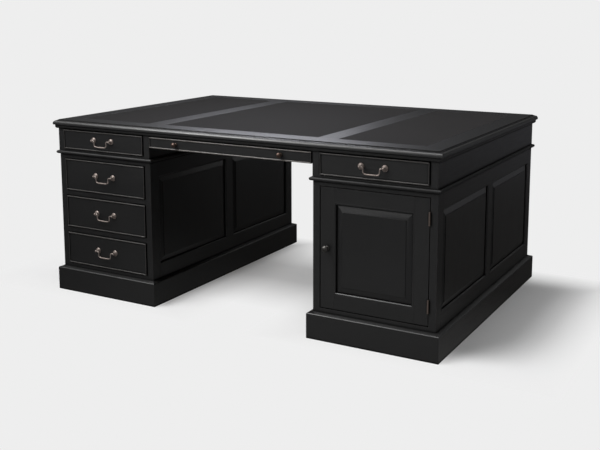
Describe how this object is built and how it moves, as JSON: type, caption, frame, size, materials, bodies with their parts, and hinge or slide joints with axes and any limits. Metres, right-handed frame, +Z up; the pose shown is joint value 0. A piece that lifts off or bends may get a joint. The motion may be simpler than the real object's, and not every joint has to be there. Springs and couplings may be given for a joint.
{
  "type": "partners desk",
  "caption": "Pedestal partners desk with leather-lined moulded top, frieze drawers, drawer stacks and panelled cupboards facing both long sides.",
  "frame": {"origin": "on the floor under the middle of the desk", "axes": "+X along the desk's length, to the sitter's right on the front side; +Z up; the front side faces -Y"},
  "size_m": [1.83, 1.237, 0.774],
  "materials": {
    "painted_wood": "satin black paint",
    "top_wood": "satin black paint",
    "drawer_wood": "satin black paint in front, plain wood box behind",
    "writing_leather": "matte black",
    "handle_bronze": "antique bronze",
    "knob_bronze": "antique bronze",
    "hinge_metal": "blackened"
  },
  "bodies": {
    "desk": {"top_board": "top_wood", "left_leather": "writing_leather", "centre_leather": "writing_leather", "right_leather": "writing_leather", "bed_moulding": "painted_wood", "frieze_frame": "painted_wood", "frieze_boards": "painted_wood", "right_pedestal_frame": "painted_wood", "left_pedestal_frame": "painted_wood", "right_side_panels": "painted_wood", "left_side_panels": "painted_wood", "right_carcase_boards": "painted_wood", "left_carcase_boards": "painted_wood", "right_plinth": "painted_wood", "left_plinth": "painted_wood", "right_astragal": "painted_wood", "left_astragal": "painted_wood", "hinge_frame_leaves": "hinge_metal"},
    "front_lower_drawer": {"front_lower_drawer": "drawer_wood", "front_lower_posts": "handle_bronze"},
    "front_lower_bail": {"front_lower_bail": "handle_bronze"},
    "front_middle_drawer": {"front_middle_drawer": "drawer_wood", "front_middle_posts": "handle_bronze"},
    "front_middle_bail": {"front_middle_bail": "handle_bronze"},
    "front_upper_drawer": {"front_upper_drawer": "drawer_wood", "front_upper_posts": "handle_bronze"},
    "front_upper_bail": {"front_upper_bail": "handle_bronze"},
    "front_left_frieze_drawer": {"front_left_frieze_drawer": "drawer_wood", "front_left_frieze_posts": "handle_bronze"},
    "front_left_frieze_bail": {"front_left_frieze_bail": "handle_bronze"},
    "front_right_frieze_drawer": {"front_right_frieze_drawer": "drawer_wood", "front_right_frieze_posts": "handle_bronze"},
    "front_right_frieze_bail": {"front_right_frieze_bail": "handle_bronze"},
    "front_centre_drawer": {"front_centre_drawer": "drawer_wood", "front_centre_knobs": "knob_bronze"},
    "front_door": {"front_door_frame": "painted_wood", "front_door_panel": "painted_wood", "front_door_knob": "knob_bronze", "front_door_leaves": "hinge_metal"},
    "rear_lower_drawer": {"rear_lower_drawer": "drawer_wood", "rear_lower_posts": "handle_bronze"},
    "rear_lower_bail": {"rear_lower_bail": "handle_bronze"},
    "rear_middle_drawer": {"rear_middle_drawer": "drawer_wood", "rear_middle_posts": "handle_bronze"},
    "rear_middle_bail": {"rear_middle_bail": "handle_bronze"},
    "rear_upper_drawer": {"rear_upper_drawer": "drawer_wood", "rear_upper_posts": "handle_bronze"},
    "rear_upper_bail": {"rear_upper_bail": "handle_bronze"},
    "rear_left_frieze_drawer": {"rear_left_frieze_drawer": "drawer_wood", "rear_left_frieze_posts": "handle_bronze"},
    "rear_left_frieze_bail": {"rear_left_frieze_bail": "handle_bronze"},
    "rear_right_frieze_drawer": {"rear_right_frieze_drawer": "drawer_wood", "rear_right_frieze_posts": "handle_bronze"},
    "rear_right_frieze_bail": {"rear_right_frieze_bail": "handle_bronze"},
    "rear_centre_drawer": {"rear_centre_drawer": "drawer_wood", "rear_centre_knobs": "knob_bronze"},
    "rear_door": {"rear_door_frame": "painted_wood", "rear_door_panel": "painted_wood", "rear_door_knob": "knob_bronze", "rear_door_leaves": "hinge_metal"}
  },
  "joints": [
    {"name": "front_lower_drawer_slide", "type": "slide", "parent": "desk", "child": "front_lower_drawer", "axis": [0, -1, 0], "range_m": [0, 0.4]},
    {"name": "front_lower_bail_swing", "type": "hinge", "parent": "front_lower_drawer", "child": "front_lower_bail", "pos_m": [-0.6425, -0.607, 0.202], "axis": [-1, 0, 0], "range_deg": [-24, 95]},
    {"name": "front_middle_drawer_slide", "type": "slide", "parent": "desk", "child": "front_middle_drawer", "axis": [0, -1, 0], "range_m": [0, 0.4]},
    {"name": "front_middle_bail_swing", "type": "hinge", "parent": "front_middle_drawer", "child": "front_middle_bail", "pos_m": [-0.6425, -0.607, 0.369], "axis": [-1, 0, 0], "range_deg": [-24, 95]},
    {"name": "front_upper_drawer_slide", "type": "slide", "parent": "desk", "child": "front_upper_drawer", "axis": [0, -1, 0], "range_m": [0, 0.4]},
    {"name": "front_upper_bail_swing", "type": "hinge", "parent": "front_upper_drawer", "child": "front_upper_bail", "pos_m": [-0.6425, -0.607, 0.536], "axis": [-1, 0, 0], "range_deg": [-24, 95]},
    {"name": "front_left_frieze_drawer_slide", "type": "slide", "parent": "desk", "child": "front_left_frieze_drawer", "axis": [0, -1, 0], "range_m": [0, 0.4]},
    {"name": "front_left_frieze_bail_swing", "type": "hinge", "parent": "front_left_frieze_drawer", "child": "front_left_frieze_bail", "pos_m": [-0.6425, -0.612, 0.6945], "axis": [-1, 0, 0], "range_deg": [-24, 95]},
    {"name": "front_right_frieze_drawer_slide", "type": "slide", "parent": "desk", "child": "front_right_frieze_drawer", "axis": [0, -1, 0], "range_m": [0, 0.4]},
    {"name": "front_right_frieze_bail_swing", "type": "hinge", "parent": "front_right_frieze_drawer", "child": "front_right_frieze_bail", "pos_m": [0.6425, -0.612, 0.6945], "axis": [-1, 0, 0], "range_deg": [-24, 95]},
    {"name": "front_centre_drawer_slide", "type": "slide", "parent": "desk", "child": "front_centre_drawer", "axis": [0, -1, 0], "range_m": [0, 0.4]},
    {"name": "front_door_hinge", "type": "hinge", "parent": "desk", "child": "front_door", "pos_m": [0.8645, -0.594, 0.3645], "axis": [0, 0, 1], "range_deg": [0, 120]},
    {"name": "rear_lower_drawer_slide", "type": "slide", "parent": "desk", "child": "rear_lower_drawer", "axis": [0, 1, 0], "range_m": [0, 0.4]},
    {"name": "rear_lower_bail_swing", "type": "hinge", "parent": "rear_lower_drawer", "child": "rear_lower_bail", "pos_m": [0.6425, 0.607, 0.202], "axis": [1, 0, 0], "range_deg": [-24, 95]},
    {"name": "rear_middle_drawer_slide", "type": "slide", "parent": "desk", "child": "rear_middle_drawer", "axis": [0, 1, 0], "range_m": [0, 0.4]},
    {"name": "rear_middle_bail_swing", "type": "hinge", "parent": "rear_middle_drawer", "child": "rear_middle_bail", "pos_m": [0.6425, 0.607, 0.369], "axis": [1, 0, 0], "range_deg": [-24, 95]},
    {"name": "rear_upper_drawer_slide", "type": "slide", "parent": "desk", "child": "rear_upper_drawer", "axis": [0, 1, 0], "range_m": [0, 0.4]},
    {"name": "rear_upper_bail_swing", "type": "hinge", "parent": "rear_upper_drawer", "child": "rear_upper_bail", "pos_m": [0.6425, 0.607, 0.536], "axis": [1, 0, 0], "range_deg": [-24, 95]},
    {"name": "rear_left_frieze_drawer_slide", "type": "slide", "parent": "desk", "child": "rear_left_frieze_drawer", "axis": [0, 1, 0], "range_m": [0, 0.4]},
    {"name": "rear_left_frieze_bail_swing", "type": "hinge", "parent": "rear_left_frieze_drawer", "child": "rear_left_frieze_bail", "pos_m": [0.6425, 0.612, 0.6945], "axis": [1, 0, 0], "range_deg": [-24, 95]},
    {"name": "rear_right_frieze_drawer_slide", "type": "slide", "parent": "desk", "child": "rear_right_frieze_drawer", "axis": [0, 1, 0], "range_m": [0, 0.4]},
    {"name": "rear_right_frieze_bail_swing", "type": "hinge", "parent": "rear_right_frieze_drawer", "child": "rear_right_frieze_bail", "pos_m": [-0.6425, 0.612, 0.6945], "axis": [1, 0, 0], "range_deg": [-24, 95]},
    {"name": "rear_centre_drawer_slide", "type": "slide", "parent": "desk", "child": "rear_centre_drawer", "axis": [0, 1, 0], "range_m": [0, 0.4]},
    {"name": "rear_door_hinge", "type": "hinge", "parent": "desk", "child": "rear_door", "pos_m": [-0.8645, 0.594, 0.3645], "axis": [0, 0, 1], "range_deg": [0, 120]}
  ]
}
